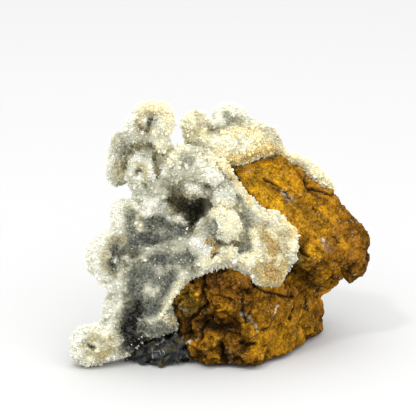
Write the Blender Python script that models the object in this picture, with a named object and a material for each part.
"""A cluster of drusy quartz on its host rock: rounded knobs of quartz crust, grown together, that cover the left side
and the top of an iron-stained block, with a blue-grey foot of chalcedony under the crust at the front."""

import math

import bmesh
import bpy
from mathutils import Vector

# Everything below is in millimetres until MM turns it into Blender's metres.
MM = 0.001

# The stone is described as it is seen from the front and a little above: how far across to the right, how far up
# the picture, and how far back from its foremost edge.
LOOK_DOWN = math.radians(18.0)
MIDDLE_ACROSS = 0.12
MIDDLE_BACK = 30.02

# Each lump is a skin over a few balls: across, up, back, radius.
ROCK_LUMPS = [
    # The tilted slab whose broad ochre face looks up to the right, with its tip hanging over on the right.
    [
        (4.0, 68.0, 25.0, 1.0),
        (20.5, 72.2, 38.0, 1.0),
        (39.0, 57.0, 37.5, 1.0),
        (46.8, 48.8, 36.0, 1.0),
        (50.2, 43.4, 34.0, 0.8),
        (50.4, 41.0, 33.5, 0.8),
        (47.4, 37.4, 31.0, 1.0),
        (24.0, 36.5, 15.0, 1.0),
        (14.0, 55.0, 22.2, 1.0),
        (47.0, 33.8, 32.0, 1.0),
        (41.6, 29.4, 32.0, 1.0),
        (34.6, 26.4, 32.0, 1.0),
        (3.0, 62.0, 44.0, 2.0),
        (18.0, 66.0, 52.0, 2.0),
        (35.0, 50.0, 52.0, 2.0),
        (44.0, 37.0, 42.0, 2.0),
        (28.0, 26.0, 50.0, 2.0),
        (4.0, 40.0, 44.0, 2.0),
    ],
    # The blocky body below it, from the front wall to the back, down to the ground.
    [
        (9.6, 1.6, 2.0, 1.0),
        (4.0, 1.8, 3.0, 1.0),
        (-5.0, 2.4, 4.4, 1.0),
        (-13.0, 8.0, 12.0, 1.0),
        (-15.0, 16.0, 36.0, 1.5),
        (12.4, 2.6, 5.0, 1.0),
        (20.0, 4.7, 12.0, 1.0),
        (23.4, 6.2, 17.0, 1.0),
        (27.0, 9.3, 27.0, 1.0),
        (34.2, 13.0, 39.0, 1.0),
        (34.2, 22.0, 34.0, 1.0),
        (31.0, 18.0, 54.0, 2.0),
        (10.0, 18.0, 58.0, 2.0),
        (-9.0, 16.0, 52.0, 2.0),
        (-14.6, 27.0, 10.5, 1.0),
        (-5.0, 31.3, 8.5, 1.0),
        (2.0, 34.6, 8.5, 1.0),
        (12.0, 29.5, 8.0, 1.0),
        (21.7, 29.0, 13.0, 1.0),
        (20.0, 44.0, 56.0, 2.0),
        (-6.0, 42.0, 50.0, 2.0),
    ],
    # The hidden shoulder under the crust, which carries the knobs.
    [
        (-10.0, 28.0, 24.0, 2.0),
        (-8.0, 40.0, 38.0, 2.0),
        (6.0, 60.0, 36.0, 2.0),
        (-12.0, 34.0, 46.0, 2.0),
        (2.0, 54.0, 50.0, 2.0),
        (16.0, 50.0, 27.0, 2.0),
        (12.0, 30.0, 22.0, 2.0),
    ],
]

DRUSE_LUMPS = [
    # The top left knob with its neck behind.
    [(-22.6, 83.0, 15.0, 7.2), (-24.6, 80.6, 14.0, 7.0)],
    [(-20.8, 84.8, 15.0, 5.3), (-18.0, 85.8, 15.0, 2.6)],
    [(-26.6, 77.6, 15.0, 4.8), (-23.4, 78.6, 14.0, 5.6), (-21.6, 77.4, 13.0, 5.0)],
    [(-24.0, 79.0, 20.0, 5.5), (-20.0, 68.0, 30.0, 7.0)],
    # The horn that hangs from it.
    [(-21.8, 74.5, 14.0, 2.6), (-20.4, 67.4, 15.0, 0.8)],
    # The long lobe behind it on the left.
    [(-32.0, 76.2, 25.0, 4.2), (-33.4, 71.0, 24.0, 4.2), (-33.8, 66.0, 22.0, 4.2)],
    [(-32.4, 74.0, 26.0, 4.4), (-20.0, 66.0, 32.0, 7.0)],
    # The knob in front with the dark hole.
    [(-25.6, 66.6, 13.0, 5.8), (-24.4, 61.4, 16.0, 5.2), (-20.6, 62.2, 17.0, 4.8)],
    [(-24.0, 61.0, 16.5, 4.4), (-23.0, 56.8, 17.0, 1.8)],
    [(-23.0, 63.0, 18.0, 6.0), (-14.0, 62.0, 32.0, 8.0)],
    # The large knob in the middle of the top and the frosted bumps on it.
    [(-11.6, 68.8, 13.0, 6.8), (-15.4, 66.6, 14.0, 5.4), (-6.6, 68.4, 14.0, 6.0)],
    [(-9.0, 61.2, 11.0, 3.8), (-9.0, 65.0, 14.0, 5.0)],
    [(-4.6, 66.2, 10.0, 4.2), (-1.2, 67.6, 12.0, 4.0)],
    [(-0.6, 61.0, 12.0, 4.1), (4.4, 59.6, 14.0, 3.2), (-2.6, 62.0, 16.0, 4.0)],
    [(-12.0, 66.0, 18.0, 7.0), (-8.0, 62.0, 34.0, 9.0)],
    # The two cream lobes on the top.
    [(-8.2, 82.4, 27.0, 4.8), (-5.8, 77.0, 25.0, 4.6)],
    [(-7.0, 78.0, 26.0, 4.4), (-6.0, 68.0, 30.0, 6.0)],
    [(3.0, 84.8, 32.0, 5.2), (-0.6, 80.0, 28.0, 5.0), (5.0, 80.0, 34.0, 5.0)],
    [(2.0, 78.0, 32.0, 6.0), (-4.0, 66.0, 34.0, 7.0)],
    # The crust band over the top of the rock.
    [
        (3.6, 71.6, 22.0, 2.4),
        (-0.5, 74.8, 22.0, 4.0),
        (8.0, 83.0, 34.0, 3.2),
        (16.4, 79.0, 38.0, 2.8),
        (19.4, 76.0, 40.0, 2.4),
        (9.6, 74.2, 28.0, 2.2),
        (14.0, 75.2, 33.0, 2.2),
        (6.0, 74.0, 44.0, 4.0),
        (17.0, 71.0, 48.0, 3.0),
    ],
    # The strip of crust behind the upper edge of the slab.
    [(19.0, 72.0, 44.0, 3.0), (25.6, 70.4, 43.0, 2.4), (30.0, 68.0, 43.0, 2.8), (24.0, 64.0, 52.0, 3.0)],
    [(30.0, 68.0, 43.0, 2.8), (33.6, 65.0, 43.0, 2.6), (37.2, 61.6, 42.0, 1.8), (32.0, 58.0, 50.0, 3.0)],
    # The far wall of the hollow.
    [(-11.0, 54.0, 36.0, 6.0), (-2.0, 56.0, 33.0, 5.0), (6.0, 57.0, 30.0, 4.0), (4.0, 48.0, 30.0, 4.0)],
    # The round knob with the rim of points, to the right of the hollow.
    [(0.5, 49.0, 8.0, 6.2), (-4.2, 46.8, 9.0, 4.0)],
    [(1.0, 48.0, 10.0, 5.5), (6.0, 48.0, 22.0, 6.0)],
    # Grey crust that climbs from it to the slab.
    [(8.0, 54.0, 15.0, 3.2), (3.6, 60.0, 18.0, 3.0), (12.0, 50.0, 16.0, 3.8), (10.0, 38.0, 12.0, 4.0)],
    [(-0.4, 66.0, 20.0, 2.0), (6.4, 57.6, 19.0, 2.0), (-3.0, 64.0, 20.0, 4.0)],
    # The granular patch that lies over the top of the front wall.
    [
        (16.6, 51.0, 18.0, 2.8),
        (23.4, 46.6, 19.5, 2.6),
        (24.0, 38.0, 14.5, 2.4),
        (19.0, 30.4, 10.0, 2.4),
        (13.0, 31.0, 8.0, 2.4),
        (11.0, 42.0, 12.0, 3.0),
    ],
    # Whitish crust under the knob, down to the upper edge of the front wall.
    [(-9.0, 42.0, 10.0, 3.4), (2.6, 40.0, 8.5, 3.0), (4.0, 36.8, 8.5, 1.6), (-6.0, 35.0, 9.0, 2.2)],
    [(3.0, 40.5, 8.5, 3.0), (12.0, 34.0, 9.5, 3.0), (11.0, 42.0, 14.0, 3.0)],
    # The sparkling grey field, from the hollow down to the foot.
    [(-18.0, 45.0, 14.0, 7.6), (-11.5, 42.0, 13.0, 6.6), (-21.0, 36.0, 12.5, 8.4)],
    [(-21.0, 36.0, 12.5, 8.4), (-24.0, 26.0, 12.0, 8.0), (-14.0, 34.0, 13.0, 6.0)],
    [(-25.0, 24.0, 12.0, 8.0), (-27.0, 15.0, 11.5, 7.4), (-19.6, 16.0, 11.0, 5.6)],
    [(-18.0, 40.0, 20.0, 9.0), (-20.0, 24.0, 24.0, 9.0), (-16.0, 42.0, 34.0, 9.0)],
    # Small knobs on the near lip of the hollow.
    [(-17.0, 53.2, 16.0, 2.9), (-17.5, 49.0, 17.0, 4.0)],
    [(-20.6, 54.4, 20.0, 2.6), (-19.0, 50.0, 20.0, 4.0)],
    [(-13.6, 51.2, 15.0, 2.2), (-14.0, 47.0, 16.0, 4.0)],
    # The two wide pale knobs on the left.
    [(-29.4, 50.8, 15.0, 7.0), (-28.0, 45.0, 14.0, 7.0)],
    [(-32.0, 53.0, 15.0, 4.6), (-27.6, 53.6, 16.0, 4.2)],
    [(-29.0, 47.0, 16.0, 7.0), (-20.0, 42.0, 22.0, 8.0)],
    [(-36.4, 38.0, 13.0, 8.4), (-32.0, 33.0, 13.0, 7.6)],
    [(-36.0, 42.4, 14.0, 5.6), (-38.6, 39.0, 13.0, 5.8)],
    [(-34.0, 36.0, 15.0, 8.0), (-22.0, 32.0, 20.0, 8.0)],
    # Ribs below them.
    [(-32.6, 20.0, 11.0, 7.0), (-33.6, 26.0, 14.0, 3.4), (-26.0, 20.0, 14.0, 7.0)],
    [(-36.6, 18.6, 11.0, 3.4), (-30.0, 18.0, 12.0, 6.0)],
    # The low knob that reaches out to the left.
    [(-43.8, 8.6, 7.0, 6.8), (-36.0, 10.4, 8.0, 6.4)],
    [(-38.0, 10.0, 8.0, 6.4), (-28.0, 13.0, 12.0, 6.6)],
    # Knobs on the far side and the back.
    [(-30.0, 34.0, 30.0, 7.0), (-18.0, 34.0, 36.0, 9.0)],
    [(-33.0, 40.0, 36.0, 4.6), (-26.0, 38.0, 34.0, 6.0)],
    [(-24.0, 52.0, 40.0, 6.0), (-14.0, 50.0, 40.0, 8.0)],
    [(-16.0, 69.0, 42.0, 5.4), (-10.0, 62.0, 42.0, 8.0)],
    [(-4.0, 74.0, 46.0, 5.4), (0.0, 66.0, 46.0, 7.0)],
    [(-27.0, 20.0, 28.0, 6.0), (-18.0, 26.0, 34.0, 7.0)],
]

FOOT_LUMPS = [
    [
        (-34.0, 6.4, 11.0, 1.6),
        (-26.0, 5.0, 8.0, 1.4),
        (-19.0, 2.8, 4.6, 1.4),
        (-9.6, 5.0, 8.0, 1.4),
        (-20.0, 10.0, 6.0, 1.4),
        (-12.0, 12.0, 9.0, 1.4),
        (-26.0, 9.0, 10.0, 1.4),
        (-24.0, 10.0, 22.0, 2.0),
        (-14.0, 10.0, 20.0, 2.0),
    ],
]

ROCK_SKIN = 1.2
ROCK_KEPT = 0.1
DRUSE_SKIN = 0.9
DRUSE_KEPT = 0.065
FOOT_SKIN = 0.8
FOOT_KEPT = 0.2
SEAM_GAP = 0.35
DRUSE_CLEARANCE = 0.2
FLOOR_SIZE = 300.0

MATERIALS = {
    "matrix_rock": ((0.34, 0.17, 0.04, 1.0), 0.85),
    "quartz_druse": ((0.66, 0.64, 0.56, 1.0), 0.35),
    "chalcedony_foot": ((0.12, 0.14, 0.16, 1.0), 0.4),
}


def clear_scene():
    for thing in list(bpy.data.objects):
        bpy.data.objects.remove(thing, do_unlink=True)


def seen(across, up, back):
    """The point seen so far across and up, and so far back, in metres in the stone's own frame."""
    height = (up - back * math.sin(LOOK_DOWN)) / math.cos(LOOK_DOWN)
    return Vector((across - MIDDLE_ACROSS, back - MIDDLE_BACK, height)) * MM


def ball_directions():
    ball = bmesh.new()
    bmesh.ops.create_icosphere(ball, subdivisions=3, radius=1.0)
    directions = [vert.co.copy() for vert in ball.verts]
    ball.free()
    return directions


def add_lump(shape, balls, directions):
    """Adds to a mesh the skin stretched over the balls."""
    lump = bmesh.new()
    for across, up, back, radius in balls:
        centre = seen(across, up, back)
        for direction in directions:
            lump.verts.new(centre + direction * radius * MM)
    hull = bmesh.ops.convex_hull(lump, input=lump.verts)
    inside = {item for item in hull["geom_interior"] if isinstance(item, bmesh.types.BMVert)}
    bmesh.ops.delete(lump, geom=list(inside), context="VERTS")
    bmesh.ops.recalc_face_normals(lump, faces=lump.faces)
    skin = bpy.data.meshes.new("lump")
    lump.to_mesh(skin)
    lump.free()
    shape.from_mesh(skin)
    bpy.data.meshes.remove(skin)


def lumps_mesh(name, lumps):
    directions = ball_directions()
    shape = bmesh.new()
    for balls in lumps:
        add_lump(shape, balls, directions)
    mesh = bpy.data.meshes.new(name)
    shape.to_mesh(mesh)
    shape.free()
    return mesh


def new_object(name, mesh):
    thing = bpy.data.objects.new(name, mesh)
    bpy.context.scene.collection.objects.link(thing)
    return thing


def make_cutter(cutter):
    cutter.hide_render = True
    cutter.display_type = "WIRE"


def join_lumps(thing, skin, kept):
    """Melts the lumps of a mesh into one skin and thins its faces out."""
    melt = thing.modifiers.new("melt", "REMESH")
    melt.mode = "VOXEL"
    melt.voxel_size = skin * MM
    thin = thing.modifiers.new("thin", "DECIMATE")
    thin.ratio = kept


def cut(thing, cutter, name):
    tool = thing.modifiers.new(name, "BOOLEAN")
    tool.operation = "DIFFERENCE"
    tool.object = cutter


def seam_cutter(thing, name):
    """The same stone a seam wider, to cut its neighbour back with."""
    cutter = new_object(name, thing.data)
    for source in thing.modifiers:
        if source.type == "REMESH":
            copy = cutter.modifiers.new(source.name, "REMESH")
            copy.mode = source.mode
            copy.voxel_size = source.voxel_size
        if source.type == "DECIMATE":
            copy = cutter.modifiers.new(source.name, "DECIMATE")
            copy.ratio = source.ratio
    swell = cutter.modifiers.new("swell", "DISPLACE")
    swell.mid_level = 0.0
    swell.strength = SEAM_GAP * MM
    make_cutter(cutter)
    return cutter


def ground_cutter(name, height):
    """A wide block whose top is level, at this height: what it takes away leaves a flat underside."""
    mesh = bpy.data.meshes.new(name)
    block = bmesh.new()
    bmesh.ops.create_cube(block, size=FLOOR_SIZE * MM)
    bmesh.ops.translate(block, verts=block.verts, vec=(0.0, 0.0, (height - FLOOR_SIZE / 2) * MM))
    block.to_mesh(mesh)
    block.free()
    cutter = new_object(name, mesh)
    make_cutter(cutter)
    return cutter


def finish(thing):
    colour, roughness = MATERIALS[thing.name]
    material = bpy.data.materials.new(thing.name)
    material.use_nodes = True
    shader = material.node_tree.nodes["Principled BSDF"]
    shader.inputs["Base Color"].default_value = colour
    shader.inputs["Roughness"].default_value = roughness
    shader.inputs["Metallic"].default_value = 0.0
    thing.data.materials.append(material)


def main():
    clear_scene()
    ground = ground_cutter("ground", 0.0)
    lifted_ground = ground_cutter("lifted_ground", DRUSE_CLEARANCE)

    rock = new_object("matrix_rock", lumps_mesh("matrix_rock", ROCK_LUMPS))
    join_lumps(rock, ROCK_SKIN, ROCK_KEPT)
    rock_seam = seam_cutter(rock, "rock_seam")
    cut(rock, ground, "flat_base")

    foot = new_object("chalcedony_foot", lumps_mesh("chalcedony_foot", FOOT_LUMPS))
    join_lumps(foot, FOOT_SKIN, FOOT_KEPT)
    foot_seam = seam_cutter(foot, "foot_seam")
    cut(foot, ground, "flat_base")
    cut(foot, rock_seam, "rock_seam")

    druse = new_object("quartz_druse", lumps_mesh("quartz_druse", DRUSE_LUMPS))
    join_lumps(druse, DRUSE_SKIN, DRUSE_KEPT)
    cut(druse, lifted_ground, "clear_of_ground")
    cut(druse, rock_seam, "rock_seam")
    cut(druse, foot_seam, "foot_seam")

    for thing in (rock, druse, foot):
        finish(thing)


main()
